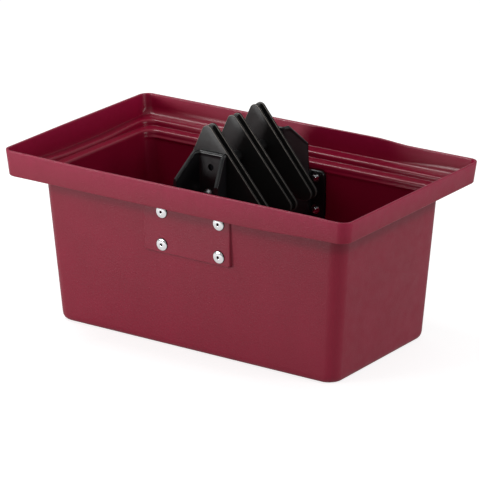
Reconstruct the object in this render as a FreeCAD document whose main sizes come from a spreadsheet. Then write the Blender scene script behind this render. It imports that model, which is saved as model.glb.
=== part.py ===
import FreeCAD, Part
import math
import os
import re

import Sketcher

# Open moulded tub with a riveted rack of grooved saddles across its middle.
# Millimetres. Origin at the centre of the tub's underside, +X along its length, +Z up.

DIMENSIONS = {
    # Tub, outside sizes at four levels
    "rim_length": 500.0,
    "rim_width": 294.0,
    "rim_height": 223.5,
    "lip_base_length": 493.4,
    "lip_base_width": 290.4,
    "lip_base_height": 194.1,
    "shoulder_length": 463.0,
    "shoulder_width": 251.0,
    "well_length": 438.0,
    "well_width": 220.0,
    "well_height": 186.8,
    "base_length": 407.0,
    "base_width": 204.0,
    # Tub, walls and corners
    "wall": 3.2,
    "lip_radius": 14.0,
    "well_radius": 18.0,
    "base_radius": 16.0,
    "base_rounding": 9.0,
    "edge_rounding": 1.3,
    "shelf_rounding": 3.0,
    # Riveting pads on the long walls
    "pad_width": 126.0,
    "pad_bottom": 121.3,
    "pad_top": 191.0,
    "pad_face": 111.4,
    "pad_seat": 107.4,
    "pad_radius": 4.0,
    "seat_margin": 1.0,
    # Rivets
    "rivet_spacing_x": 82.8,
    "rivet_spacing_z": 41.0,
    "rivet_centre_z": 152.5,
    "front_rivet_shift": 5.5,
    "rivet_flange_radius": 7.9,
    "rivet_flange_height": 2.4,
    "rivet_shank_radius": 2.4,
    "rivet_tail_radius": 3.6,
    "rivet_tail_length": 4.0,
    "mandrel_radius": 1.3,
    "mandrel_depth": 3.5,
    "washer_radius": 6.0,
    "washer_thickness": 1.0,
    # Rack brackets
    "bracket_wall": 4.5,
    "bracket_inner": 59.0,
    "bracket_level": 70.0,
    "bracket_outer": 97.0,
    "bracket_shift": 2.7,
    "plate_half": 20.0,
    "bracket_half": 32.2,
    "cheek_inset": 4.8,
    "front_bracket_top": 241.0,
    "front_bracket_corner": 211.0,
    "rear_bracket_top": 244.2,
    "rear_bracket_corner": 217.8,
    "bracket_bottom": 121.5,
    "ear_half": 53.0,
    "ear_top": 181.5,
    "ear_thickness": 5.0,
    "ear_radius": 5.0,
    # Saddles
    "saddle_pitch": 52.0,
    "saddle_top": 271.6,
    "saddle_bottom": 162.5,
    "saddle_left": 57.0,
    "saddle_right": 79.0,
    "saddle_tip_x": -6.2,
    "saddle_tip_radius": 7.5,
    "saddle_corner_radius": 9.0,
    "rear_saddle_shift": 3.2,
    "rear_saddle_trim": 3.0,
    "cheek_thickness": 3.0,
    "core_thickness": 8.0,
    "core_side_inset": 11.5,
    "core_tip_inset": 14.5,
    # Rods, bolts and spacers
    "rod_radius": 3.9,
    "rod_x": 2.0,
    "rod_z": 222.5,
    "rod_recess": 2.5,
    "rod_hole_radius": 4.1,
    "bolt_radius": 3.0,
    "bolt_x": -1.6,
    "bolt_z": 189.0,
    "bolt_head_radius": 5.4,
    "bolt_head_height": 3.0,
    "bolt_socket_radius": 2.9,
    "bolt_socket_depth": 2.0,
    "bolt_tail": 8.5,
    "nut_radius": 5.8,
    "nut_height": 6.0,
    "spacer_radius": 7.0,
}

# How near an edge lies to a height that it counts as level with, in millimetres
LEVEL_TOLERANCE = 0.05

# Share of a volume within which two volumes count as the same
VOLUME_TOLERANCE = 1e-4

doc = FreeCAD.newDocument("tool_tub")
sheet = doc.addObject("Spreadsheet::Sheet", "Sheet")
nodes = []


def fill_sheet():
    """Put one driving dimension in each row, with its name as the alias."""
    for row, (alias, value) in enumerate(DIMENSIONS.items(), start=1):
        sheet.set(f"A{row}", alias)
        sheet.set(f"B{row}", str(value))
        sheet.setAlias(f"B{row}", alias)
    doc.recompute()


def formula(text):
    """Point each dimension named in a formula at its cell."""
    return re.sub("[a-z_]+", lambda word: f"Sheet.{word[0]}" if word[0] in DIMENSIONS else word[0], text)


def size(text):
    """Value of a formula in millimetres."""
    return float(sheet.evalExpression(formula(text)))


def bind(target, prop, text):
    """Drive one property of an object from the sheet."""
    target.setExpression(prop, formula(text))


def node(target, label):
    """Keep an object as one named piece of the assembly."""
    target.Label = label
    nodes.append(target)
    return target


def new_body(name):
    return doc.addObject("PartDesign::Body", name)


def new_sketch(body, name, role, offset="0"):
    """Sketch on one of the body's own planes, moved along the plane's normal."""
    sketch = body.newObject("Sketcher::SketchObject", name)
    plane = next(item for item in body.Origin.OriginFeatures if item.Role == role)
    sketch.AttachmentSupport = [(plane, "")]
    sketch.MapMode = "FlatFace"
    bind(sketch, "AttachmentOffset.Base.z", offset)
    return sketch


def fix_point(sketch, geometry, vertex, spot):
    """Fix a point of a sketch at a pair of formulas, measured from the origin."""
    kinds = ("DistanceX", "DistanceY")
    axes = (-2, -1)
    for kind, axis, text in zip(kinds, axes, spot):
        if text == "0":
            sketch.addConstraint(Sketcher.Constraint("PointOnObject", geometry, vertex, axis))
            continue
        index = sketch.addConstraint(Sketcher.Constraint(kind, -1, 1, geometry, vertex, size(text)))
        bind(sketch, f"Constraints[{index}]", text)


def fix_radius(sketch, geometry, radius):
    """Fix the radius of a circle or an arc."""
    index = sketch.addConstraint(Sketcher.Constraint("Radius", geometry, size(radius)))
    bind(sketch, f"Constraints[{index}]", radius)


def belt_normals(centres, radii):
    """Angle at which each straight run of a belt faces out, from one round to the next."""
    normals = []
    for index, centre in enumerate(centres):
        following = (index + 1) % len(centres)
        step = centres[following] - centre
        side = math.atan2(step.y, step.x) - math.pi / 2
        normals.append(side + math.asin((radii[index] - radii[following]) / step.Length))
    return normals


def belt(sketch, rounds):
    """Outline drawn round circles, listed anticlockwise: arcs joined by tangent lines."""
    count = len(rounds)
    centres = [FreeCAD.Vector(size(x), size(y), 0) for x, y, _ in rounds]
    radii = [size(radius) for _, _, radius in rounds]
    normals = belt_normals(centres, radii)
    for index in range(count):
        start = normals[index - 1]
        end = start + (normals[index] - start) % (2 * math.pi)
        circle = Part.Circle(centres[index], FreeCAD.Vector(0, 0, 1), radii[index])
        sketch.addGeometry(Part.ArcOfCircle(circle, start, end))
    for index in range(count):
        following = (index + 1) % count
        out = FreeCAD.Vector(math.cos(normals[index]), math.sin(normals[index]), 0)
        start = centres[index] + out * radii[index]
        end = centres[following] + out * radii[following]
        sketch.addGeometry(Part.LineSegment(start, end))
    for index, (x, y, radius) in enumerate(rounds):
        line = count + index
        sketch.addConstraint(Sketcher.Constraint("Tangent", index, 2, line, 1))
        sketch.addConstraint(Sketcher.Constraint("Tangent", line, 2, (index + 1) % count, 1))
        fix_point(sketch, index, 3, (x, y))
        fix_radius(sketch, index, radius)
    return sketch


def polygon(sketch, points):
    """Straight-sided outline through points given as pairs of formulas."""
    count = len(points)
    corners = [FreeCAD.Vector(size(x), size(y), 0) for x, y in points]
    for index in range(count):
        sketch.addGeometry(Part.LineSegment(corners[index], corners[(index + 1) % count]))
    for index in range(count):
        following = (index + 1) % count
        sketch.addConstraint(Sketcher.Constraint("Coincident", index, 2, following, 1))
    for index, spot in enumerate(points):
        fix_point(sketch, index, 1, spot)
    return sketch


def circles(sketch, places):
    """Circles at (x, y, radius) formulas."""
    for x, y, radius in places:
        centre = FreeCAD.Vector(size(x), size(y), 0)
        circle = sketch.addGeometry(Part.Circle(centre, FreeCAD.Vector(0, 0, 1), size(radius)))
        fix_point(sketch, circle, 3, (x, y))
        fix_radius(sketch, circle, radius)
    return sketch


def rounded_rectangle(sketch, length, width, radius):
    """Rectangle about the origin with round corners."""
    x = f"({length}) / 2 - ({radius})"
    y = f"({width}) / 2 - ({radius})"
    corners = ((f"-({x})", f"-({y})"), (x, f"-({y})"), (x, y), (f"-({x})", y))
    return belt(sketch, [(cx, cy, radius) for cx, cy in corners])


def loft(body, kind, name, lower, upper):
    """Straight-sided loft between two sketches of the body."""
    feature = body.newObject("PartDesign::" + kind, name)
    feature.Profile = lower
    feature.Sections = [upper]
    feature.Ruled = True
    doc.recompute()
    return feature


def pad(body, sketch, name, length, reverse=False, kind="Pad"):
    """Pad or pocket of a sketch to one side."""
    feature = body.newObject("PartDesign::" + kind, name)
    feature.Profile = sketch
    feature.Reversed = reverse
    bind(feature, "Length", length)
    doc.recompute()
    return feature


def cut(body, sketch, name, length, reverse):
    """Pocket that has to take material away: one that misses leaves faces and volume as they were."""
    before = body.Tip.Shape
    feature = pad(body, sketch, name, length, reverse, "Pocket")
    same_faces = len(feature.Shape.Faces) == len(before.Faces)
    if same_faces and math.isclose(feature.Shape.Volume, before.Volume, rel_tol=VOLUME_TOLERANCE):
        raise RuntimeError(f"{name} cuts nothing")
    return feature


def level_edges(shape, heights):
    """Names of the edges that lie flat at one of the heights."""
    names = []
    for index, edge in enumerate(shape.Edges, start=1):
        low, high = edge.BoundBox.ZMin, edge.BoundBox.ZMax
        if any(max(abs(low - z), abs(high - z)) < LEVEL_TOLERANCE for z in heights):
            names.append(f"Edge{index}")
    return names


def fillet(body, base, name, edges, radius):
    """Round some edges of the body's last feature."""
    feature = body.newObject("PartDesign::Fillet", name)
    feature.Base = (base, edges)
    bind(feature, "Radius", radius)
    doc.recompute()
    return feature


def cylinder(name, radius, height):
    solid = doc.addObject("Part::Cylinder", name)
    bind(solid, "Radius", radius)
    bind(solid, "Height", height)
    return solid


def place(target, x="0", y="0", z="0"):
    """Drive an object's position from the sheet."""
    for axis, text in zip("xyz", (x, y, z)):
        bind(target, f"Placement.Base.{axis}", text)
    return target


def turn(target, axis, angle):
    target.Placement.Rotation = FreeCAD.Rotation(FreeCAD.Vector(*axis), angle)
    return target


def tub_levels(body, name, levels):
    """One sketched outline of the tub for each (height, length, width, radius)."""
    sketches = []
    for index, (height, length, width, radius) in enumerate(levels):
        sketch = new_sketch(body, f"{name}{index}", "XY_Plane", height)
        sketches.append(rounded_rectangle(sketch, length, width, radius))
    return sketches


def upright_sketch(body, name, side, distance):
    """Sketch that stands at a distance in front (-1) of the XZ plane or behind it (1)."""
    return new_sketch(body, name, "XZ_Plane", f"{-side} * ({distance})")


def upright_rectangle(sketch, half, low, high, radius):
    """Rectangle on an upright sketch with round corners."""
    x = f"{half} - {radius}"
    bottom = f"{low} + {radius}"
    top = f"{high} - {radius}"
    corners = ((f"-({x})", bottom), (x, bottom), (x, top), (f"-({x})", top))
    return belt(sketch, [(cx, cz, radius) for cx, cz in corners])


def rivet_places(side):
    """Formulas for the rivets' X and Z in the front (-1) or back wall (1), two rows of two."""
    middle = "front_rivet_shift" if side < 0 else "0"
    for x in (f"{middle} - rivet_spacing_x / 2", f"{middle} + rivet_spacing_x / 2"):
        for z in ("rivet_centre_z - rivet_spacing_z / 2", "rivet_centre_z + rivet_spacing_z / 2"):
            yield x, z


def drill(body, name, side, distance, holes, depth):
    """Round holes along Y, cut from an upright sketch towards the middle."""
    sketch = circles(upright_sketch(body, name + "Sketch", side, distance), holes)
    return cut(body, sketch, name, depth, reverse=side > 0)


def tub_shell(body):
    """Drafted well, shoulder and flared lip, hollowed to an even wall."""
    outside = (
        ("0", "base_length", "base_width", "base_radius"),
        ("well_height", "well_length", "well_width", "well_radius"),
        ("well_height", "shoulder_length", "shoulder_width", "well_radius"),
        ("lip_base_height", "shoulder_length", "shoulder_width", "well_radius"),
        ("lip_base_height", "lip_base_length", "lip_base_width", "lip_radius"),
        ("rim_height", "rim_length", "rim_width", "lip_radius"),
    )
    outer = tub_levels(body, "Outer", outside)
    for lower in (0, 2, 4):
        loft(body, "AdditiveLoft", f"Shell{lower}", outer[lower], outer[lower + 1])
    for side in (-1, 1):
        face = upright_sketch(body, f"PadSketch{side + 1}", side, "pad_face")
        upright_rectangle(face, "pad_width / 2", "pad_bottom", "pad_top", "pad_radius")
        pad(body, face, f"Pad{side + 1}", "pad_face - base_width / 2 + base_radius", reverse=side < 0)
    inside = [("wall", *shrink(outside[0][1:]))]
    for height, *outline in outside[1:5]:
        inside.append((f"{height} + wall", *shrink(outline)))
    inside.append(("rim_height", *shrink(outside[5][1:])))
    inner = tub_levels(body, "Inner", inside)
    for lower in (0, 2, 4):
        loft(body, "SubtractiveLoft", f"Hollow{lower}", inner[lower], inner[lower + 1])


def shrink(outline):
    """Length, width and corner radius of an outline one wall further in."""
    length, width, radius = outline
    return f"{length} - 2 * wall", f"{width} - 2 * wall", f"{radius} - wall"


def tub_edges(body):
    """Soften the moulding: full round rim, round shelves and a well-rounded base."""
    roundings = (
        ("Rim", ("rim_height",), "edge_rounding"),
        ("Lip", ("lip_base_height",), "edge_rounding"),
        ("Shelves", ("lip_base_height + wall", "well_height + wall"), "shelf_rounding"),
        ("Base", ("0",), "base_rounding"),
        ("Floor", ("wall",), "base_rounding - wall"),
    )
    for name, heights, radius in roundings:
        base = body.Tip
        edges = level_edges(base.Shape, [size(height) for height in heights])
        fillet(body, base, name + "Rounding", edges, radius)


def make_tub():
    """Moulded shell with a flat riveting pad in each long wall."""
    body = new_body("Tub")
    tub_shell(body)
    tub_edges(body)
    for side in (-1, 1):
        seat = upright_sketch(body, f"SeatSketch{side + 1}", side, "pad_seat")
        upright_rectangle(seat, "ear_half + seat_margin", "bracket_bottom - seat_margin",
                          "ear_top + seat_margin", "ear_radius")
        cut(body, seat, f"Seat{side + 1}", "pad_seat - bracket_outer", reverse=side > 0)
        holes = [(x, z, "rivet_shank_radius") for x, z in rivet_places(side)]
        drill(body, f"RivetHoles{side + 1}", side, "pad_face", holes, "pad_face - bracket_outer")
    return node(body, "tub")


def bracket_plan(middle, back_half, front_half, back):
    """Plan outline that widens from the saddles to the wall about a middle X, as pairs of formulas."""
    half = (
        (back_half, f"-({back})"), (front_half, "-bracket_outer"), (front_half, "-pad_seat"),
    )
    right = tuple((f"{middle} + ({x})", y) for x, y in half)
    left = tuple((f"{middle} - ({x})", y) for x, y in reversed(half))
    return right + left


def bracket_hull(body, label, middle):
    """Solid outside of a bracket: splayed block, its top sloped down to the wall, and two ears."""
    top = f"{label}_top"
    hull = polygon(new_sketch(body, "HullSketch", "XY_Plane", "bracket_bottom"),
                   bracket_plan(middle, "plate_half", "bracket_half", "bracket_inner"))
    pad(body, hull, "Hull", f"{top} - bracket_bottom")
    slope = new_sketch(body, "SlopeSketch", "YZ_Plane", "-ear_half")
    outline = (
        ("-bracket_level", top), ("-bracket_outer", f"{label}_corner"),
        ("-bracket_outer", "ear_top"), ("-pad_seat", "ear_top"), ("-pad_seat", top),
    )
    cut(body, polygon(slope, outline), "Slope", "2 * ear_half", reverse=True)
    ears = upright_sketch(body, "EarSketch", -1, "pad_seat")
    upright_rectangle(ears, "ear_half", "bracket_bottom", "ear_top", "ear_radius")
    pad(body, ears, "Ears", "ear_thickness", reverse=True)


def bracket_hollow(body, label, middle):
    """Open the pocket between the plate, the cheeks and the wall."""
    widening = "(bracket_half - plate_half) / (bracket_outer - bracket_inner)"
    back_half = f"plate_half + {widening} * bracket_wall - cheek_inset"
    plan = bracket_plan(middle, back_half, "bracket_half - cheek_inset", "bracket_inner + bracket_wall")
    hollow = polygon(new_sketch(body, "HollowSketch", "XY_Plane", f"{label}_top"), plan)
    cut(body, hollow, "Hollow", f"{label}_top - bracket_bottom + seat_margin", reverse=False)


def make_bracket(label, side):
    """Hat-section bracket: plate against the saddles, two splayed cheeks and two riveted ears."""
    body = new_body(label.title().replace("_", ""))
    middle = f"{-side} * bracket_shift"
    bracket_hull(body, label, middle)
    bracket_hollow(body, label, middle)
    plate_holes = (
        (f"{-side} * rod_x", "rod_z", "rod_hole_radius"), (f"{-side} * bolt_x", "bolt_z", "bolt_radius"),
    )
    drill(body, "PlateHoles", -1, "bracket_outer", plate_holes, "bracket_outer - bracket_inner")
    ear_holes = [(x, z, "rivet_shank_radius") for x, z in rivet_places(side)]
    drill(body, "EarHoles", -1, "pad_seat", ear_holes, "ear_thickness")
    if side > 0:
        turn(body, (0, 0, 1), 180)
    return node(body, label)


def saddle_outline(shift, trim, side_inset, tip_inset):
    """Circles of a saddle's round-cornered triangle, moved to the left and cut shorter at the right."""
    inset = f"saddle_corner_radius - {side_inset}"
    corner_z = "saddle_bottom + saddle_corner_radius"
    tip_z = f"saddle_top - saddle_tip_radius - {tip_inset}"
    return (
        (f"-(saddle_left - {inset}) - {shift}", corner_z, "saddle_corner_radius"),
        (f"saddle_right - {inset} - {shift} - {trim}", corner_z, "saddle_corner_radius"),
        (f"saddle_tip_x - {shift}", tip_z, "saddle_tip_radius"),
    )


def make_saddle_plate(label, middle, thickness, outline):
    """One plate of a saddle, upright and centred on a Y, drilled for the rod and the bolt."""
    body = new_body(label.title().replace("_", ""))
    sketch = belt(upright_sketch(body, "Outline", -1, f"-{thickness} / 2"), outline)
    pad(body, sketch, "Plate", thickness)
    holes = (("rod_x", "rod_z", "rod_radius"), ("bolt_x", "bolt_z", "bolt_radius"))
    drill(body, "Holes", -1, f"{thickness} / 2", holes, thickness)
    place(body, y=middle)
    return node(body, label)


def make_saddles():
    """Three saddles, each two cheeks with a smaller core between them that leaves a groove."""
    offset = "(core_thickness + cheek_thickness) / 2"
    alike = ("0", "0")
    rear = ("rear_saddle_shift", "rear_saddle_trim")
    for row, name, changes in ((-1, "front", alike), (0, "middle", alike), (1, "rear", rear)):
        middle = f"{row} * saddle_pitch"
        cheek = saddle_outline(*changes, "0", "0")
        core = saddle_outline(*changes, "core_side_inset", "core_tip_inset")
        make_saddle_plate(f"{name}_saddle_front_cheek", f"{middle} - {offset}", "cheek_thickness", cheek)
        make_saddle_plate(f"{name}_saddle_core", middle, "core_thickness", core)
        make_saddle_plate(f"{name}_saddle_rear_cheek", f"{middle} + {offset}", "cheek_thickness", cheek)


def along_y(target, x, y, z):
    """Lay a cylinder along +Y with its first end at a place."""
    turn(target, (1, 0, 0), -90)
    return place(target, x, y, z)


def fuse(name, pieces):
    solid = doc.addObject("Part::MultiFuse", name)
    solid.Shapes = pieces
    return solid


def subtract(name, base, tool):
    solid = doc.addObject("Part::Cut", name)
    solid.Base = base
    solid.Tool = tool
    return solid


def make_spacers():
    """Tubes on the rod and the bolt that hold the saddles apart."""
    gap = "saddle_pitch - core_thickness - 2 * cheek_thickness"
    start = "core_thickness / 2 + cheek_thickness"
    for level, pin in (("upper", "rod"), ("lower", "bolt")):
        x, z, radius = f"{pin}_x", f"{pin}_z", f"{pin}_radius"
        for name, row in (("front", -1), ("rear", 0)):
            label = f"{name}_{level}_spacer"
            first = f"{row} * saddle_pitch + {start}"
            outside = along_y(cylinder(label + "_outside", "spacer_radius", gap), x, first, z)
            bore = along_y(cylinder(label + "_bore", radius, gap), x, first, z)
            node(subtract(label, outside, bore), label)


def make_locating_rod():
    """Plain rod through the saddles, its ends set back inside the brackets' upper holes."""
    half = "bracket_inner + bracket_wall - rod_recess"
    rod = cylinder("LocatingRod", "rod_radius", f"2 * ({half})")
    node(along_y(rod, "rod_x", f"-({half})", "rod_z"), "locating_rod")


def cap_sphere(radius, height):
    """Formula for the radius of the sphere that a domed head is a cap of."""
    return f"(({radius}^2 + {height}^2) / (2 * {height}))"


def dome(name, radius, height):
    """Cap of a sphere that stands on the XY plane."""
    sphere = cap_sphere(radius, height)
    cap = doc.addObject("Part::Sphere", name)
    bind(cap, "Radius", sphere)
    bind(cap, "Angle1", f"asin(1 - {height} / {sphere})")
    return place(cap, z=f"{height} - {sphere}")


def ring(name, outer, bore, height):
    """Flat washer on the XY plane."""
    return subtract(name, cylinder(name + "_disc", outer, height), cylinder(name + "_bore", bore, height))


def group(label, pieces):
    """Identical pieces kept together as one node of separate solids."""
    compound = doc.addObject("Part::Compound", label)
    compound.Links = pieces
    return node(compound, label)


def face_out(target, side, x, y, z):
    """Turn an upright fastener so that its head looks out of the front (-1) or the back (1)."""
    turn(target, (1, 0, 0), -90 * side)
    return place(target, x, f"{side} * ({y})", z)


def make_rivet(name):
    """Large-flange blind rivet along Z, its flange seated on the XY plane."""
    grip = "pad_face - pad_seat + ear_thickness + washer_thickness"
    head = dome(name + "_head", "rivet_flange_radius", "rivet_flange_height")
    shank = place(cylinder(name + "_shank", "rivet_shank_radius", grip), z=f"-({grip})")
    tail = cylinder(name + "_tail", "rivet_tail_radius", "rivet_tail_length")
    place(tail, z=f"-({grip}) - rivet_tail_length")
    mandrel_hole = cylinder(name + "_mandrel", "mandrel_radius", "mandrel_depth")
    place(mandrel_hole, z="rivet_flange_height - mandrel_depth")
    return subtract(name, fuse(name + "_solid", [head, shank, tail]), mandrel_hole)


def make_wall_fasteners(label, side):
    """Four rivets through a pad and a bracket's ears, with washers under their tails."""
    rivets = []
    washers = []
    for index, (x, z) in enumerate(rivet_places(side)):
        rivet = make_rivet(f"{label}_rivet{index}")
        rivets.append(face_out(rivet, side, x, "pad_face", z))
        washer = ring(f"{label}_washer{index}", "washer_radius", "rivet_shank_radius", "washer_thickness")
        washers.append(face_out(washer, side, x, "pad_seat - ear_thickness - washer_thickness", z))
    group(f"{label}_rivets", rivets)
    group(f"{label}_rivet_washers", washers)


def make_tie_bolt():
    """Button-head bolt that clamps brackets, saddles and spacers together, with its washers and nut."""
    reach = "bracket_inner + bracket_wall + washer_thickness"
    length = f"2 * ({reach}) + bolt_tail"
    head = dome("TieHead", "bolt_head_radius", "bolt_head_height")
    shank = place(cylinder("TieShank", "bolt_radius", length), z=f"-({length})")
    socket = doc.addObject("Part::Prism", "TieSocket")
    socket.Polygon = 6
    bind(socket, "Circumradius", "bolt_socket_radius")
    bind(socket, "Height", "bolt_socket_depth")
    place(socket, z="bolt_head_height - bolt_socket_depth")
    bolt = subtract("TieBolt", fuse("TieBoltSolid", [head, shank]), socket)
    node(face_out(bolt, -1, "bolt_x", reach, "bolt_z"), "tie_bolt")
    washers = []
    for side in (-1, 1):
        washer = ring(f"TieWasher{side + 1}", "washer_radius", "bolt_radius", "washer_thickness")
        washers.append(face_out(washer, side, "bolt_x", "bracket_inner + bracket_wall", "bolt_z"))
    group("tie_bolt_washers", washers)
    blank = doc.addObject("Part::Prism", "NutBlank")
    blank.Polygon = 6
    bind(blank, "Circumradius", "nut_radius")
    bind(blank, "Height", "nut_height")
    nut = subtract("Nut", blank, cylinder("NutBore", "bolt_radius", "nut_height"))
    node(face_out(nut, 1, "bolt_x", reach, "bolt_z"), "tie_bolt_nut")


def check_and_write():
    """Stop on any failed object or bad shape, then write each piece to its own file."""
    doc.recompute()
    for item in doc.Objects:
        if {"Invalid", "Error"} & set(item.State):
            raise RuntimeError(f"{item.Label} failed: {item.State}")
    for item in nodes:
        if item.Shape.isNull() or not item.Shape.isValid():
            raise RuntimeError(f"{item.Label} has no valid shape")
    os.makedirs("parts", exist_ok=True)
    for item in nodes:
        item.Shape.exportStep(f"parts/{item.Label}.step")
        box = item.Shape.BoundBox
        print(f"{item.Label}: {len(item.Shape.Solids)} solids, {item.Shape.Volume:.0f} mm3,"
              f" X {box.XMin:.1f}..{box.XMax:.1f} Y {box.YMin:.1f}..{box.YMax:.1f}"
              f" Z {box.ZMin:.1f}..{box.ZMax:.1f}")


def main():
    fill_sheet()
    make_tub()
    for name, side in (("front", -1), ("rear", 1)):
        make_bracket(f"{name}_bracket", side)
        make_wall_fasteners(name, side)
    make_saddles()
    make_spacers()
    make_locating_rod()
    make_tie_bolt()
    check_and_write()


main()
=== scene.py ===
"""Looks of an open moulded tub with a black saddle rack riveted across its middle."""

import logging
import math
from dataclasses import dataclass
from enum import Enum
from typing import Sequence

import bpy
import numpy as np
from mathutils import Matrix


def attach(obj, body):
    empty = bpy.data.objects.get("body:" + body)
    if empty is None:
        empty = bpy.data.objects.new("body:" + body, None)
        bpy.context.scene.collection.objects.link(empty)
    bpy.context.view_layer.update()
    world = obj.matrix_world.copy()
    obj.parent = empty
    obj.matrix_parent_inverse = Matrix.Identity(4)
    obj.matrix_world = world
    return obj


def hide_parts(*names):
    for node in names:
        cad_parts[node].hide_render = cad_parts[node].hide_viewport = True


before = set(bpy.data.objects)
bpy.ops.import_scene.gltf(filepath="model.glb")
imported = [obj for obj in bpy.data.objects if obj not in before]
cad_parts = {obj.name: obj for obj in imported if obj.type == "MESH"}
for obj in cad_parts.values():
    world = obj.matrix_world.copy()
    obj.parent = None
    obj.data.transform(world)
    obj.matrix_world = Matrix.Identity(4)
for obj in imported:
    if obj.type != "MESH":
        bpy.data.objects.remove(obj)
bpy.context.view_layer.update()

Array = np.ndarray
Colour = tuple[float, float, float]
Span = tuple[float, float]
Points = Sequence[Sequence[float]]
Socket = bpy.types.NodeSocket

# Shapes are worked out in millimetres and put into the meshes in metres.
MM = 0.001
# Attribute of the edge colour: wear, and also painted highlight and painted shade, set by each finish.
BODY = "root"
EDGE_WEAR_AND_PAINTED_LIGHT = "edge"
POLISH = "polish"
# Attribute of the painted shade that darkens the tub's outside under the lip and the pads.
PAINTED_SHADE = "painted_shade"
SHARP_ANGLE = math.radians(38.0)
LAMP_AIM = (0.0, 0.0, 0.15)

# Numbers of the mix node's sockets when it mixes colours.
MIX_SHARE = 0
MIX_FIRST = 6
MIX_SECOND = 7
MIX_RESULT = 2

log = logging.getLogger("tub")


class Slot(Enum):
    """Material slots of the record."""

    TUB = "tub_plastic"
    BRACKET = "bracket_plastic"
    SADDLE = "saddle_plastic"
    SPACER = "spacer_plastic"
    RIVET = "rivet_metal"
    BOLT = "bolt_steel"
    ROD = "rod_steel"


class Wall(Enum):
    """Long walls of the tub, with the sign of their Y."""

    FRONT = -1
    REAR = 1

    @property
    def label(self) -> str:
        """Name of the wall as it stands in the nodes' names."""
        return self.name.lower()


@dataclass
class Surface:
    """Points in millimetres and the faces that join them.

    Attributes:
        points: One row of X, Y and Z for each point.
        faces: Index lists of the faces.
        edge: Share of the finish's edge colour at each point, from 0 to 1, which paints highlight and shade
            as well as wear.
        flat: Number of faces at the end of the list that are flat caps.
        polish: How far each point takes the finish's other gloss, from 0 to 1, or nothing where none does.
        painted_shade: How much painted shade darkens each point, from 0 to 1, or nothing where none is.
    """

    points: Array
    faces: list[list[int]]
    edge: Array
    flat: int = 0
    polish: Array | None = None
    painted_shade: Array | None = None

    def outward(self) -> "Surface":
        """Turn every face round if the closed surface encloses a negative volume.

        Returns:
            The surface itself.
        """
        corners = [(face[0], face[i], face[i + 1]) for face in self.faces for i in range(1, len(face) - 1)]
        a, b, c = self.points[np.array(corners)].transpose(1, 0, 2)
        if np.einsum("ij,ij->i", a, np.cross(b, c)).sum() < 0:
            self.faces = [face[::-1] for face in self.faces]
        return self

    def moved(self, axes: Array, origin: Sequence[float]) -> "Surface":
        """Place a copy in another frame.

        Args:
            axes: Rows that the copy's X, Y and Z point along.
            origin: Place of the copy's origin in millimetres.

        Returns:
            The placed copy.
        """
        points = self.points @ np.asarray(axes, float) + np.asarray(origin, float)
        return Surface(points, [list(face) for face in self.faces], self.edge.copy(), self.flat).outward()


def merged(parts: Sequence[Surface]) -> Surface:
    """Put several closed surfaces into one, as separate shells.

    Args:
        parts: The surfaces.

    Returns:
        One surface that holds them all.
    """
    starts = np.cumsum([0] + [len(part.points) for part in parts])
    curved = []
    caps = []
    for part, start in zip(parts, starts):
        shifted = [[index + int(start) for index in face] for face in part.faces]
        split = len(shifted) - part.flat
        curved += shifted[:split]
        caps += shifted[split:]
    points = np.concatenate([part.points for part in parts])
    edge = np.concatenate([part.edge for part in parts])
    return Surface(points, curved + caps, edge, len(caps))


def lattice(rows: int, columns: int, wrap: bool) -> list[list[int]]:
    """Quads between the points of a grid that is numbered row by row.

    Args:
        rows: Number of rows.
        columns: Number of points in a row.
        wrap: Whether the last column joins the first.

    Returns:
        One list of four point numbers for each quad.
    """
    row, column = np.meshgrid(np.arange(rows - 1), np.arange(columns if wrap else columns - 1), indexing="ij")
    following = (column + 1) % columns
    corners = (row * columns + column, row * columns + following,
               (row + 1) * columns + following, (row + 1) * columns + column)
    return np.stack(corners, axis=-1).reshape(-1, 4).tolist()


def capped(grid: Array, edge: Array) -> Surface:
    """Close a stack of rings with a flat face at each end.

    Args:
        grid: Rings of points, as rows by columns by three.
        edge: Share of the edge colour at each point, as rows by columns.

    Returns:
        The closed surface.
    """
    rows, columns, _ = grid.shape
    faces = lattice(rows, columns, wrap=True)
    first = list(range(columns))[::-1]
    last = list(range((rows - 1) * columns, rows * columns))
    return Surface(grid.reshape(-1, 3), faces + [first, last], edge.reshape(-1), flat=2).outward()


def rounded(corners: Points, cuts: Sequence[float], steps: int, hold: float = 0.0) -> Array:
    """Polyline whose corners are softened.

    A corner P that is cut back to A and B becomes (1 - t)^2 A + 2 t (1 - t) P + t^2 B, for t from 0 to 1.

    Args:
        corners: Points of the polyline, in any number of dimensions.
        cuts: How far each corner is cut back. Zero leaves it alone.
        steps: Number of runs in each curve.
        hold: Distance of an extra point past each end of a curve, which keeps long runs evenly shaded.

    Returns:
        The points of the softened line.
    """
    corners = np.asarray(corners, float)
    share = np.linspace(0.0, 1.0, steps + 1)[:, None]
    line = [corners[:1]]
    for before, corner, after, cut in zip(corners, corners[1:], corners[2:], cuts[1:]):
        if cut == 0:
            line.append(corner[None])
            continue
        back = (before - corner) / np.linalg.norm(before - corner)
        ahead = (after - corner) / np.linalg.norm(after - corner)
        start = corner + cut * back
        end = corner + cut * ahead
        curve = (1 - share) ** 2 * start + 2 * share * (1 - share) * corner + share ** 2 * end
        if hold:
            curve = np.concatenate([[start + hold * back], curve, [end + hold * ahead]])
        line.append(curve)
    line.append(corners[-1:])
    return np.concatenate(line)


def smoothstep(low: float, high: float, value: Array) -> Array:
    """Rise from 0 at low to 1 at high as 3 t^2 - 2 t^3."""
    share = np.clip((value - low) / (high - low), 0.0, 1.0)
    return share * share * (3.0 - 2.0 * share)


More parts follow.
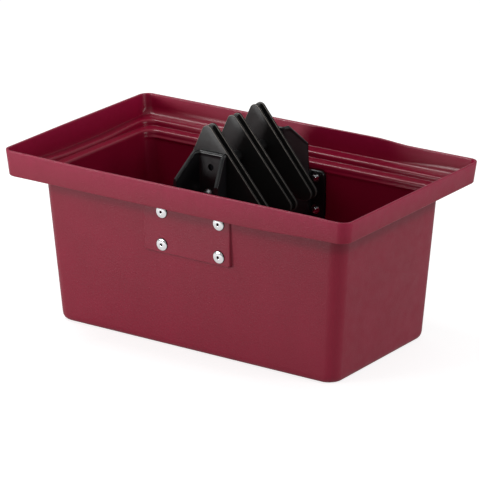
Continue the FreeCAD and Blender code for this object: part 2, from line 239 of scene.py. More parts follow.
def rounded_box_distance(x: Array, z: Array, half: Span, radius: float) -> Array:
    """Signed distance to a round-cornered rectangle about the origin, negative inside.

    Args:
        x: First coordinate of the points.
        z: Second coordinate of the points.
        half: Half of each side.
        radius: Corner radius.

    Returns:
        The distance: the length of the part outside the corner circles' centres, less the radius.
    """
    over_x = np.abs(x) - half[0] + radius
    over_z = np.abs(z) - half[1] + radius
    outside = np.hypot(np.maximum(over_x, 0.0), np.maximum(over_z, 0.0))
    return outside + np.minimum(np.maximum(over_x, over_z), 0.0) - radius


def turned(profile: Array, segments: int, edge: Array) -> Surface:
    """Turn a profile about the Z axis: each (r, h) becomes the circle (r cos a, r sin a, h).

    Args:
        profile: Radius and height of each point. The first and last lie on the axis.
        segments: Points round each circle.
        edge: Share of the edge colour at each profile point.

    Returns:
        The closed surface, with a fan at each pole.
    """
    angle = np.linspace(0.0, 2.0 * math.pi, segments, endpoint=False)
    radius, height = profile[1:-1].T
    x = np.outer(radius, np.cos(angle))
    y = np.outer(radius, np.sin(angle))
    z = np.repeat(height[:, None], segments, axis=1)
    grid = np.stack([x, y, z], axis=-1).reshape(-1, 3)
    poles = np.array([[0.0, 0.0, profile[0, 1]], [0.0, 0.0, profile[-1, 1]]])
    rings = len(radius)
    ring = np.arange(segments)
    following = (ring + 1) % segments
    top = (rings - 1) * segments
    first = np.stack([following, ring, np.full(segments, rings * segments)], axis=-1).tolist()
    last = np.stack([top + ring, top + following, np.full(segments, rings * segments + 1)], axis=-1).tolist()
    wear_and_painted_light = np.concatenate([np.repeat(edge[1:-1], segments), edge[[0, -1]]])
    faces = lattice(rings, segments, wrap=True) + first + last
    return Surface(np.concatenate([grid, poles]), faces, wear_and_painted_light).outward()


class Nodes:
    """Shorthand for the node tree of one material or of the world.

    Args:
        owner: The material or world.
        shader: Name of the shader node.
        place: Name of the coordinates that patterns read.
    """

    def __init__(self, owner: bpy.types.ID, shader: str = "Principled BSDF", place: str = "Object") -> None:
        """Open the node tree."""
        owner.use_nodes = True
        self.owner = owner
        self.tree = owner.node_tree
        self.shader = self.tree.nodes[shader]
        self.place = self.add("ShaderNodeTexCoord").outputs[place]

    def add(self, kind: str, **values: object) -> bpy.types.Node:
        """Add a node.

        Args:
            kind: Blender's name of the node type.
            **values: Properties of the node.

        Returns:
            The node.
        """
        node = self.tree.nodes.new(kind)
        for key, value in values.items():
            setattr(node, key, value)
        return node

    def put(self, socket: Socket, source: object) -> None:
        """Fill an input with a value, or join another node's output to it.

        Args:
            socket: The input.
            source: The value or the output.
        """
        if isinstance(source, Socket):
            self.tree.links.new(source, socket)
        else:
            socket.default_value = source

    def feed(self, node: bpy.types.Node, **sources: object) -> bpy.types.Node:
        """Fill a node's inputs by their names.

        Args:
            node: The node.
            **sources: A value or an output for each input, with underscores for spaces in its name.

        Returns:
            The node.
        """
        for key, source in sources.items():
            self.put(node.inputs[key.replace("_", " ")], source)
        return node

    def noise(self, grain: float, detail: float = 2.0, stretch: Sequence[float] = (1, 1, 1)) -> Socket:
        """Noise whose features are about one grain across.

        Args:
            grain: Size of a feature in metres.
            detail: Octaves of finer noise.
            stretch: How much longer a feature is along each axis.

        Returns:
            The noise from 0 to 1.
        """
        mapping = self.add("ShaderNodeMapping")
        self.feed(mapping, Vector=self.place, Scale=tuple(1.0 / (grain * part) for part in stretch))
        texture = self.add("ShaderNodeTexNoise")
        self.feed(texture, Vector=mapping.outputs[0], Scale=1.0, Detail=detail)
        return texture.outputs["Fac"]

    def pebbles(self, grain: float, smoothness: float = 0.6) -> Socket:
        """Rounded cells of a moulding's pebble grain.

        Args:
            grain: Size of a pebble in metres.
            smoothness: How far neighbouring pebbles run together.

        Returns:
            Distance from each pebble's middle.
        """
        texture = self.add("ShaderNodeTexVoronoi", feature="SMOOTH_F1")
        self.feed(texture, Vector=self.place, Scale=1.0 / grain, Smoothness=smoothness)
        return texture.outputs["Distance"]

    def span(self, source: Socket, low: float, high: float,
             start: float = 0.3, end: float = 0.7) -> Socket:
        """Carry the values from start to end over to the values from low to high, and hold them there.

        Args:
            source: The values.
            low: Value at the start.
            high: Value at the end.
            start: First value of the source.
            end: Last value of the source.

        Returns:
            The new values.
        """
        node = self.add("ShaderNodeMapRange", clamp=True)
        self.feed(node, Value=source, From_Min=start, From_Max=end, To_Min=low, To_Max=high)
        return node.outputs[0]

    def math(self, operation: str, first: object, second: object) -> Socket:
        """Combine two values.

        Args:
            operation: Blender's name of the sum.
            first: A value, or the output that gives it.
            second: The other value.

        Returns:
            The result.
        """
        node = self.add("ShaderNodeMath", operation=operation)
        for socket, source in zip(node.inputs, (first, second)):
            self.put(socket, source)
        return node.outputs[0]

    def blend(self, share: Socket, first: object, second: Colour) -> Socket:
        """Mix two colours.

        Args:
            share: How much of the second colour shows.
            first: A colour, or the output that gives it.
            second: The other colour.

        Returns:
            The mixed colour.
        """
        node = self.add("ShaderNodeMix", data_type="RGBA")
        self.put(node.inputs[MIX_SHARE], share)
        self.put(node.inputs[MIX_FIRST], first if isinstance(first, Socket) else (*first, 1.0))
        self.put(node.inputs[MIX_SECOND], (*second, 1.0))
        return node.outputs[MIX_RESULT]

    def share(self, name: str) -> Socket:
        """A share that the meshes carry as an attribute."""
        return self.add("ShaderNodeAttribute", attribute_name=name).outputs["Fac"]

    def bump(self, height: Socket, depth: float, strength: float = 1.0,
             under: Socket | None = None) -> Socket:
        """Relief of the surface.

        Args:
            height: Height of the relief, from 0 to 1.
            depth: Depth of the relief in metres.
            strength: How strongly it shows.
            under: Coarser relief that this one lies on.

        Returns:
            The bent normal.
        """
        node = self.feed(self.add("ShaderNodeBump"), Height=height, Distance=depth, Strength=strength)
        if under is not None:
            self.tree.links.new(under, node.inputs["Normal"])
        return node.outputs[0]


@dataclass(frozen=True)
class PlasticFinish:
    """Moulded or sawn plastic with a pebble grain, patchy gloss, paler edges of wear and painted highlight,
    and painted shade.

    Attributes:
        name: Name of the material.
        colour: Main colour.
        shade: Colour of the darker patches.
        wear_and_highlight: Colour of the paler edges: rubbed wear, and a painted highlight on the tub's rim
            and the saddles.
        wear_and_highlight_share: How much those edges take of it.
        gloss: Lowest and highest roughness.
        polish: Roughness where the mesh asks for the other gloss.
        grain: Size of a pebble in metres.
        grain_depth: Depth of the pebble grain in metres.
        wave: Size of the slow waves of the wall in metres.
        wave_depth: Depth of those waves in metres.
        specular: Strength of the reflections, where 0.5 is plain plastic.
        tint: Colour of the reflections.
        painted_shade_colour: Colour of the painted shade, where the mesh asks for it.
        painted_shade_share: How much the painted shade takes of it.
        polished_grain: Share of the grain that is left where the mesh asks for the other gloss.
        patch: Size of the darker patches in metres.
        rub: Size of the breaks in the paler edge colour in metres.
        smear: Size of the patches of gloss in metres.
    """

    name: str
    colour: Colour
    shade: Colour
    wear_and_highlight: Colour
    wear_and_highlight_share: float
    gloss: Span
    polish: float
    grain: float
    grain_depth: float
    wave: float
    wave_depth: float
    specular: float = 0.5
    tint: Colour = (1.0, 1.0, 1.0)
    painted_shade_colour: Colour = (0.01, 0.001, 0.002)
    painted_shade_share: float = 0.4
    polished_grain: float = 0.25
    patch: float = 0.05
    rub: float = 0.006
    smear: float = 0.012

    def material(self) -> bpy.types.Material:
        """Build the finish.

        Returns:
            The material.
        """
        nodes = Nodes(bpy.data.materials.new(self.name))
        patches = nodes.span(nodes.noise(self.patch, detail=3.0), 0.0, 1.0)
        colour = nodes.blend(patches, self.colour, self.shade)
        # Paler edge colour: wear, and a painted highlight along the tub's rim and the saddles' edges.
        worn_and_lit = nodes.span(nodes.noise(self.rub, detail=3.0), 0.5 * self.wear_and_highlight_share, self.wear_and_highlight_share)
        colour = nodes.blend(nodes.math("MULTIPLY", nodes.share(EDGE_WEAR_AND_PAINTED_LIGHT), worn_and_lit), colour, self.wear_and_highlight)
        # Painted shade: the colour turns darker where the mesh asks for it, under the tub's lip and pads.
        painted_dark = nodes.math("MULTIPLY", nodes.share(PAINTED_SHADE), self.painted_shade_share)
        colour = nodes.blend(painted_dark, colour, self.painted_shade_colour)
        polished = nodes.share(POLISH)
        rough = nodes.span(nodes.noise(self.smear, detail=4.0), *self.gloss)
        gloss = nodes.feed(nodes.add("ShaderNodeMix"), Factor=polished, A=rough, B=self.polish)
        waves = nodes.bump(nodes.noise(self.wave, detail=1.0), self.wave_depth)
        kept = nodes.span(polished, 1.0, self.polished_grain, 0.0, 1.0)
        grain = nodes.math("MULTIPLY", nodes.pebbles(self.grain), kept)
        pebbles = nodes.bump(grain, self.grain_depth, under=waves)
        nodes.feed(nodes.shader, Base_Color=colour, Roughness=gloss.outputs[0], Normal=pebbles,
                   Specular_IOR_Level=self.specular, Specular_Tint=(*self.tint, 1.0))
        return nodes.owner


@dataclass(frozen=True)
class MetalFinish:
    """Bare or plated metal with fine scratches, dull patches, and painted shade in hollows and at rims.

    Attributes:
        name: Name of the material.
        colour: Main colour.
        shade: Colour of the dull patches.
        gloss: Lowest and highest roughness.
        scratch: Width of a scratch in metres.
        painted_shade_tone: Colour of the painted shade in hollows and at rims.
        patch: Size of the dull patches in metres.
        stretch: How much longer a scratch is along each axis.
        scratch_depth: Depth of a scratch in metres.
        scratch_strength: How strongly scratches show.
    """

    name: str
    colour: Colour
    shade: Colour
    gloss: Span
    scratch: float
    painted_shade_tone: Colour = (0.004, 0.004, 0.004)
    patch: float = 0.003
    stretch: Sequence[float] = (9.0, 9.0, 1.0)
    scratch_depth: float = 0.00002
    scratch_strength: float = 0.4

    def material(self) -> bpy.types.Material:
        """Build the finish.

        Returns:
            The material.
        """
        nodes = Nodes(bpy.data.materials.new(self.name))
        scratches = nodes.noise(self.scratch, stretch=self.stretch)
        patches = nodes.span(nodes.noise(self.patch, detail=3.0), 0.0, 1.0)
        # Painted shade: where the mesh asks for it the colour turns dark, in the rivets' holes and round
        # their flanges.
        colour = nodes.blend(nodes.share(EDGE_WEAR_AND_PAINTED_LIGHT), nodes.blend(patches, self.colour, self.shade), self.painted_shade_tone)
        nodes.feed(nodes.shader, Base_Color=colour, Metallic=1.0,
                   Roughness=nodes.span(scratches, *self.gloss),
                   Normal=nodes.bump(scratches, self.scratch_depth, self.scratch_strength))
        return nodes.owner


FINISHES: dict[Slot, PlasticFinish | MetalFinish] = {
    # The tub's paler edge colour is rim wear and a painted highlight along the rim's top edge.
    Slot.TUB: PlasticFinish(
        "burgundy_tub", colour=(0.250, 0.0019, 0.026), shade=(0.225, 0.0015, 0.022),
        wear_and_highlight=(0.34, 0.006, 0.05), wear_and_highlight_share=0.8, gloss=(0.40, 0.50), polish=0.30, tint=(1.0, 0.90, 0.90),
        grain=0.0013, grain_depth=0.00015, wave=0.045, wave_depth=0.0004),
    Slot.BRACKET: PlasticFinish(
        "black_bracket", colour=(0.007, 0.007, 0.008), shade=(0.005, 0.005, 0.006),
        wear_and_highlight=(0.01, 0.01, 0.01), wear_and_highlight_share=0.5, gloss=(0.30, 0.40), polish=0.2,
        grain=0.0011, grain_depth=0.00005, wave=0.03, wave_depth=0.0002),
    # The saddles' pale edge colour is a painted highlight along the plates' rounded edges.
    Slot.SADDLE: PlasticFinish(
        "black_saddle", colour=(0.012, 0.012, 0.0115), shade=(0.008, 0.008, 0.008),
        wear_and_highlight=(0.40, 0.36, 0.32), wear_and_highlight_share=1.0, gloss=(0.28, 0.36), polish=0.95,
        grain=0.0008, grain_depth=0.00003, wave=0.03, wave_depth=0.00015),
    Slot.SPACER: PlasticFinish(
        "black_spacer", colour=(0.006, 0.006, 0.006), shade=(0.004, 0.004, 0.004),
        wear_and_highlight=(0.01, 0.01, 0.01), wear_and_highlight_share=0.3, gloss=(0.40, 0.50), polish=0.3, specular=0.35,
        grain=0.0009, grain_depth=0.00003, wave=0.02, wave_depth=0.0001),
    # The rivets' dark tone in their holes and round their flanges is painted shade.
    Slot.RIVET: MetalFinish("bright_rivet", colour=(0.90, 0.90, 0.91), shade=(0.80, 0.80, 0.82),
                            gloss=(0.05, 0.14), scratch=0.0002),
    Slot.BOLT: MetalFinish("zinc_bolt", colour=(0.80, 0.81, 0.83), shade=(0.70, 0.71, 0.73),
                           gloss=(0.30, 0.45), scratch=0.00025),
    Slot.ROD: MetalFinish("black_rod", colour=(0.006, 0.006, 0.007), shade=(0.004, 0.004, 0.005),
                          gloss=(0.45, 0.60), scratch=0.0003),
}


class Workshop:
    """Holds the materials and puts finished pieces into the scene."""

    def __init__(self) -> None:
        """Make every finish."""
        self.materials = {slot: finish.material() for slot, finish in FINISHES.items()}

    def add(self, name: str, surface: Surface, slot: Slot, *nodes: str) -> bpy.types.Object:
        """Make a piece that stands for some CAD nodes.

        Args:
            name: Name of the piece.
            surface: Its shape.
            slot: Material slot that it takes its finish from.
            *nodes: CAD nodes that it replaces.

        Returns:
            The piece's object.
        """
        mesh = bpy.data.meshes.new(name)
        mesh.from_pydata((surface.points * MM).tolist(), [], surface.faces)
        smooth = np.ones(len(surface.faces), bool)
        smooth[len(smooth) - surface.flat:] = False
        mesh.polygons.foreach_set("use_smooth", smooth)
        # Each piece carries the edge colour share, which paints highlight and shade as well as wear, and the
        # painted shade share.
        for key, values in ((EDGE_WEAR_AND_PAINTED_LIGHT, surface.edge), (POLISH, surface.polish), (PAINTED_SHADE, surface.painted_shade)):
            share = mesh.attributes.new(key, "FLOAT", "POINT")
            if values is not None:
                share.data.foreach_set("value", values.astype(np.float32))
        mesh.update()
        mesh.set_sharp_from_angle(angle=SHARP_ANGLE)
        mesh.materials.append(self.materials[slot])
        piece = bpy.data.objects.new(name, mesh)
        bpy.context.scene.collection.objects.link(piece)
        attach(piece, BODY)
        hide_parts(*nodes)
        log.info("%s: %d points, %d faces", name, len(surface.points), len(surface.faces))
        return piece

    def drill(self, piece: bpy.types.Object, cutter: Surface) -> None:
        """Cut a closed shape out of a piece for good.

        Args:
            piece: The piece.
            cutter: The shape to cut away.
        """
        mesh = bpy.data.meshes.new("cutter")
        mesh.from_pydata((cutter.points * MM).tolist(), [], cutter.faces)
        tool = bpy.data.objects.new("cutter", mesh)
        bpy.context.scene.collection.objects.link(tool)
        modifier = piece.modifiers.new("hole", "BOOLEAN")
        modifier.object = tool
        modifier.solver = "EXACT"
        solid = piece.evaluated_get(bpy.context.evaluated_depsgraph_get())
        drilled = bpy.data.meshes.new_from_object(solid)
        piece.modifiers.remove(modifier)
        old = piece.data
        piece.data = drilled
        drilled.set_sharp_from_angle(angle=SHARP_ANGLE)
        bpy.data.objects.remove(tool)
        bpy.data.meshes.remove(mesh)
        bpy.data.meshes.remove(old)

    def dress(self, slot: Slot, nodes: Sequence[str]) -> None:
        """Give CAD nodes that keep their solids a finish.

        Args:
            slot: Material slot of the nodes.
            nodes: Their names.
        """
        for name in nodes:
            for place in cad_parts[name].material_slots:
                place.material = self.materials[slot]
            log.info("%s: solid kept, %s", name, slot.value)


@dataclass(frozen=True)
class Level:
    """Outline of the tub at one height: a round-cornered rectangle about the middle.

    Attributes:
        height: Height above the floor.
        length: Half of the outline's length.
        width: Half of its width.
        radius: Corner radius.
    """

    height: float
    length: float
    width: float
    radius: float

    def row(self) -> list[float]:
        """The level's four numbers."""
        return [self.height, self.length, self.width, self.radius]


@dataclass
class Tub:
    """Moulded shell: drafted well, two shelves inside a flared lip, and a riveting pad in each long wall.

    A cut is how far a corner of the section is rounded. A span is where a form begins and where it is full.
    """

    wall: float = 3.2
    base: Level = Level(0.0, 203.5, 102.0, 16.0)
    well: Level = Level(186.8, 219.0, 110.0, 18.0)
    shoulder: Level = Level(194.1, 231.5, 125.5, 18.0)
    lip: Level = Level(194.1, 246.7, 145.2, 14.0)
    rim: Level = Level(223.5, 250.0, 147.0, 14.0)
    shelf_height: float = 197.3
    ledge_height: float = 190.0
    cap_inset: float = 60.0
    base_cut: float = 9.0
    floor_cut: float = 6.0
    shelf_cut: float = 5.0
    ledge_cut: float = 4.5
    crease_cut: float = 0.8
    foot_cut: float = 0.8
    wide_foot_cut: float = 10.0
    wide_right: Span = (90.0, 225.0)
    wide_left: Span = (0.0, 110.0)
    wide_back: Span = (126.0, 141.0)
    rim_cut: float = 1.45
    under_cut: float = 1.0
    wear_and_highlight_depth: float = 2.5
    bead: float = 1.5
    bead_height: float = 181.0
    bead_size: float = 2.0
    bead_back: Span = (92.0, 104.0)
    bead_left: Span = (0.0, 120.0)
    bead_least: float = 0.6
    shelf_dip: float = 3.1
    dip_left: Span = (214.0, 226.0)
    dip_fade: Span = (30.0, 110.0)
    dip_rise: Span = (190.5, 196.0)
    dip_fall: Span = (198.0, 206.0)
    droop: float = 3.0
    droop_start: float = 135.0
    droop_skew: float = 36.0
    droop_run: float = 54.0
    front_drop: float = 2.4
    front_least: float = 0.4
    front_grow: Span = (-250.0, -110.0)
    foot_drop: float = 4.1
    foot_fade: Span = (90.0, 240.0)
    # Painted shade under the lip and along the pads' lower edge: where it begins and where it is full.
    lip_shade: Span = (160.0, 175.0)
    pad_shade: Span = (0.5, 4.5)
    pad_line: Span = (0.0, 0.8)
    pad_shade_rise: float = 2.0
    pad_half: float = 63.0
    pad_low: float = 121.3
    pad_high: float = 191.0
    pad_face: float = 111.4
    pad_radius: float = 4.0
    pad_edge: float = 2.0
    seat_half: float = 54.0
    seat_low: float = 120.5
    seat_high: float = 182.5
    seat_face: float = 107.4
    seat_radius: float = 5.0
    core_half: float = 80.0
    corner_steps: int = 14
    end_columns: int = 21
    column_step: float = 0.6
    seat_low_step: float = 0.7
    seat_high_step: float = 0.6
    pad_low_step: float = 0.5
    slack: float = 0.1

    def inside(self, level: Level, height: float) -> Level:
        """A level one wall further in, at another height."""
        return Level(height, level.length - self.wall, level.width - self.wall, level.radius - self.wall)

    @staticmethod
    def between(low: Level, high: Level, heights: Array) -> list[list[float]]:
        """Levels on the straight wall between two others.

        Args:
            low: Lower level.
            high: Upper level.
            heights: Heights of the new levels.

        Returns:
            One row of four numbers for each height.
        """
        start = np.array(low.row())
        step = np.array(high.row()) - start
        share = (np.asarray(heights) - low.height) / (high.height - low.height)
        return (start + share[:, None] * step).tolist()

    def inner_heights(self) -> Array:
        """Place the rows up the well's inside, close together at the seats' edges.

        Returns:
            Heights of the rows, from the floor up.
        """
        low = self.seat_low
        high = self.seat_high
        lower_edge = np.arange(low - 3.0, low + 8.0, self.seat_low_step)
        upper_edge = np.arange(high - 7.0, high + 3.0, self.seat_high_step)
        below = np.linspace(24.0, low - 8.0, 6)
        seat = np.linspace(low + 12.0, high - 10.0, 6)
        return np.concatenate([below, lower_edge, seat, upper_edge])

    def outer_heights(self) -> Array:
        """Place the rows down the well's outside, close together at the pads' lower edge.

        Returns:
            Heights of the rows, from the ledge down.
        """
        low = self.pad_low
        pad = np.linspace(self.well.height - 2.5, low + 14.0, 8)
        lower_edge = np.arange(low + 11.0, low - 3.5, -self.pad_low_step)
        below = np.linspace(low - 8.0, 18.0, 9)
        return np.concatenate([pad, lower_edge, below])

    def profile(self, foot_cut: float) -> tuple[Array, Array, Array, Array]:
        """Levels from the middle of the floor up the inside, over the rim and down to the underside.

        Args:
            foot_cut: How far the hollow at the foot of the lip is rounded.

        Returns:
            The levels as rows of height, half length, half width and radius, then for each row whether it
            is on the well's inside (-1), on its outside (1) or elsewhere (0), its share of the paler edge
            colour, which on the rim is wear and a painted highlight, and whether it is on the smooth inside.
        """
        floor = self.inside(self.base, self.wall)
        brim = self.inside(self.well, self.ledge_height)
        riser = self.inside(self.shoulder, self.ledge_height)
        shelf = self.inside(self.shoulder, self.shelf_height)
        foot = self.inside(self.lip, self.shelf_height)
        crest = self.inside(self.rim, self.rim.height)
        ledge = Level(self.well.height, self.shoulder.length, self.shoulder.width, self.shoulder.radius)
        inset = self.cap_inset
        middle = Level(floor.height, floor.length - inset, floor.width - inset, floor.radius)
        under = Level(self.base.height, self.base.length - inset, self.base.width - inset, self.base.radius)
        up = self.between(floor, brim, self.inner_heights())
        down = self.between(self.base, self.well, self.outer_heights())
        corners = [middle.row(), floor.row(), *up, brim.row(), riser.row(), shelf.row(), foot.row(),
                   crest.row(), self.rim.row(), self.lip.row(), self.shoulder.row(), ledge.row(),
                   self.well.row(), *down, self.base.row(), under.row()]
        cuts = [0.0, self.floor_cut, *[0.0] * len(up), self.ledge_cut, self.crease_cut, self.shelf_cut,
                foot_cut, *[self.rim_cut] * 3, *[self.under_cut] * 3, *[0.0] * len(down),
                self.base_cut, 0.0]
        rows = rounded(corners, cuts, steps=5, hold=0.6)
        height = rows[:, 0]
        inner = np.arange(len(rows)) < np.argmax(height)
        well = (height < self.well.height + self.slack) & (rows[:, 1] < self.well.length + self.slack)
        zone = np.zeros(len(rows))
        zone[inner & (height < brim.height - self.slack)] = -1
        zone[~inner & well] = 1
        # The rim's top band takes the paler edge colour: wear and a painted highlight.
        wear_and_painted_light = np.where(height > self.rim.height - self.wear_and_highlight_depth, 1.0, 0.0)
        return rows, zone, wear_and_painted_light, inner * 1.0

    def columns(self) -> tuple[Array, Array]:
        """Places of the grid's columns along a long wall.

        Returns:
            X of the columns in the middle stretch, close together at the edges of pad and seat, and the
            shares of the way from there to the corner for the columns outside it.
        """
        flat = np.linspace(4.0, self.seat_half - 8.0, 9)
        edges = np.arange(self.seat_half - 6.0, self.pad_half + 3.0, self.column_step)
        half = np.concatenate([flat, edges, [self.pad_half + 7.0, self.core_half]])
        return np.concatenate([-half[::-1], [0.0], half]), np.linspace(0.0, 1.0, 13)[1:]

    def rings(self, rows: Array) -> Array:
        """Carry the outline round the tub at every level.

        Straight runs lie at plus or minus the half length or width. A corner is the quarter circle
        (length - r + r cos a, width - r + r sin a). The front and right runs with their corners come
        first, and the other half is the same at minus X and Y.

        Args:
            rows: Levels of the profile.

        Returns:
            Points as levels by columns by three.
        """
        height, length, width, radius = (rows[:, [i]] for i in range(4))
        core, share = self.columns()
        reach = length - radius
        depth = width - radius
        outer = self.core_half + share * (reach - self.core_half)
        front_x = np.concatenate([-outer[:, ::-1], np.repeat(core[None], len(rows), axis=0), outer], axis=1)
        end_y = depth * np.linspace(-1.0, 1.0, self.end_columns)
        angle = np.linspace(0.0, 0.5 * math.pi, self.corner_steps + 1)[None, 1:-1]
        arc_x = reach + radius * np.cos(angle)
        arc_y = depth + radius * np.sin(angle)
        front = (front_x, np.repeat(-width, front_x.shape[1], axis=1))
        right = (np.repeat(length, end_y.shape[1], axis=1), end_y)
        runs = [front, (arc_x[:, ::-1], -arc_y[:, ::-1]), right, (arc_x, arc_y)]
        half_x, half_y = (np.concatenate(parts, axis=1) for parts in zip(*runs))
        x = np.concatenate([half_x, -half_x], axis=1)
        y = np.concatenate([half_y, -half_y], axis=1)
        return np.stack([x, y, np.repeat(height, x.shape[1], axis=1)], axis=-1)

    def press(self, grid: Array, zone: Array) -> None:
        """Press the pads and seats into the long walls.

        Inside the rounded rectangle the wall moves to the flat face, across a smooth step at the edge.

        Args:
            grid: Points of the tub, changed in place.
            zone: Which rows are the well's inside (-1) or outside (1).
        """
        sizes = {1: (self.pad_half, self.pad_low, self.pad_high, self.pad_radius, self.pad_face),
                 -1: (self.seat_half, self.seat_low, self.seat_high, self.seat_radius, self.seat_face)}
        for side, (half, low, high, radius, face) in sizes.items():
            rows = zone == side
            x, y, z = np.moveaxis(grid[rows], -1, 0)
            distance = rounded_box_distance(x, z - 0.5 * (low + high), (half, 0.5 * (high - low)), radius)
            share = smoothstep(0.0, self.pad_edge, 0.5 * self.pad_edge - distance)
            share[np.abs(x) > self.core_half] = 0.0
            grid[rows, :, 1] = y + share * (np.sign(y) * face - y)

    def ripple(self, grid: Array, rows: Array) -> None:
        """Run a bead along the back wall under the ledge, and let the shelf dip at the left end's middle.

        The bead moves the wall in by a exp(-((z - h) / s)^2) and is stronger at the left. The dip is a smooth
        step across the shelf that fades towards both corners.

        Args:
            grid: Points of the tub, changed in place.
            rows: Levels of the profile.
        """
        inner = slice(0, int(np.argmax(rows[:, 0])))
        x, y, z = np.moveaxis(grid[inner], -1, 0)
        bead = self.bead * np.exp(-((z - self.bead_height) / self.bead_size) ** 2)
        grown = self.bead_least + (1.0 - self.bead_least) * smoothstep(*self.bead_left, -x)
        bead *= smoothstep(*self.bead_back, y) * grown
        dip = self.shelf_dip * smoothstep(*self.dip_left, -x) * (1.0 - smoothstep(*self.dip_fade, np.abs(y)))
        dip *= smoothstep(*self.dip_rise, z) * (1.0 - smoothstep(*self.dip_fall, z))
        grid[inner, :, 1] = y - bead
        grid[inner, :, 2] = z - dip

    def sag(self, grid: Array, rows: Array) -> None:
        """Let the lip hang a little along the front wall and at the right end.

        The rim drops by the larger of two smooth steps: the front drop, which grows from its least share at
        the left corner, and the end droop, which begins at X = start - skew y / width. The lip's foot drops
        along the front wall and comes up again towards the right corner. A point between takes a share of
        both.

        Args:
            grid: Points of the tub, changed in place.
            rows: Levels of the profile.
        """
        x, y, z = np.moveaxis(grid, -1, 0)
        front = smoothstep(0.0, 1.0, -y / self.rim.width)
        start = self.droop_start - self.droop_skew * y / self.rim.width
        end = smoothstep(0.0, self.droop_run, x - start)
        grown = self.front_least + (1.0 - self.front_least) * smoothstep(*self.front_grow, x)
        rim_drop = np.maximum(self.front_drop * front * grown, self.droop * end)
        foot_drop = self.foot_drop * front * (1.0 - smoothstep(*self.foot_fade, x))
        up = np.clip((z - self.lip.height) / (self.rim.height - self.lip.height), 0.0, 1.0)
        flare = self.lip.length - self.shoulder.length
        out = np.clip((rows[:, 1] - self.shoulder.length) / flare, 0.0, 1.0)
        out[:int(np.argmax(rows[:, 0]))] = 0.0
        grid[..., 2] = z - up * rim_drop - (1.0 - up) * out[:, None] * foot_drop

    def painted_shade(self, grid: Array, zone: Array) -> Array:
        """Painted shade under the lip and along the lower edge of the pads, where they shade the outer wall.

        The painted shade is the larger of two smooth steps: up the wall to the lip, and away from the pad's
        edge.

        Args:
            grid: Points of the tub.
            zone: Which rows are the well's inside (-1) or outside (1).

        Returns:
            A share for each point.
        """
        x, _, z = np.moveaxis(grid, -1, 0)
        half = (self.pad_half, 0.5 * (self.pad_high - self.pad_low))
        distance = rounded_box_distance(x, z - self.pad_low - half[1], half, self.pad_radius)
        under = (1.0 - smoothstep(*self.pad_shade, distance)) * smoothstep(*self.pad_line, distance)
        under *= z < self.pad_low + self.pad_shade_rise
        return np.maximum(smoothstep(*self.lip_shade, z), under) * (zone == 1)[:, None]

    def build(self, shop: Workshop) -> None:
        """Make the shell and put it in the scene.

        At the right end and at the back left the lip's foot blends into a section with a wider rounding.

        Args:
            shop: Where pieces are made.
        """
        rows, zone, wear_and_painted_light, polish = self.profile(self.foot_cut)
        grid = self.rings(rows)
        wide = self.rings(self.profile(self.wide_foot_cut)[0])
        x, y, _ = np.moveaxis(grid, -1, 0)
        back_left = smoothstep(*self.wide_left, -x) * smoothstep(*self.wide_back, y)
        share = np.maximum(smoothstep(*self.wide_right, x), back_left)
        grid = grid + share[..., None] * (wide - grid)
        self.ripple(grid, rows)
        self.press(grid, zone)
        self.sag(grid, rows)
        shell = capped(grid, np.repeat(wear_and_painted_light[:, None], grid.shape[1], axis=1))
        shell.polish = np.repeat(polish, grid.shape[1])
        # Painted shade under the lip and below the pads.
        shell.painted_shade = self.painted_shade(grid, zone).reshape(-1)
        shop.add("tub_shell", shell, Slot.TUB, "tub")


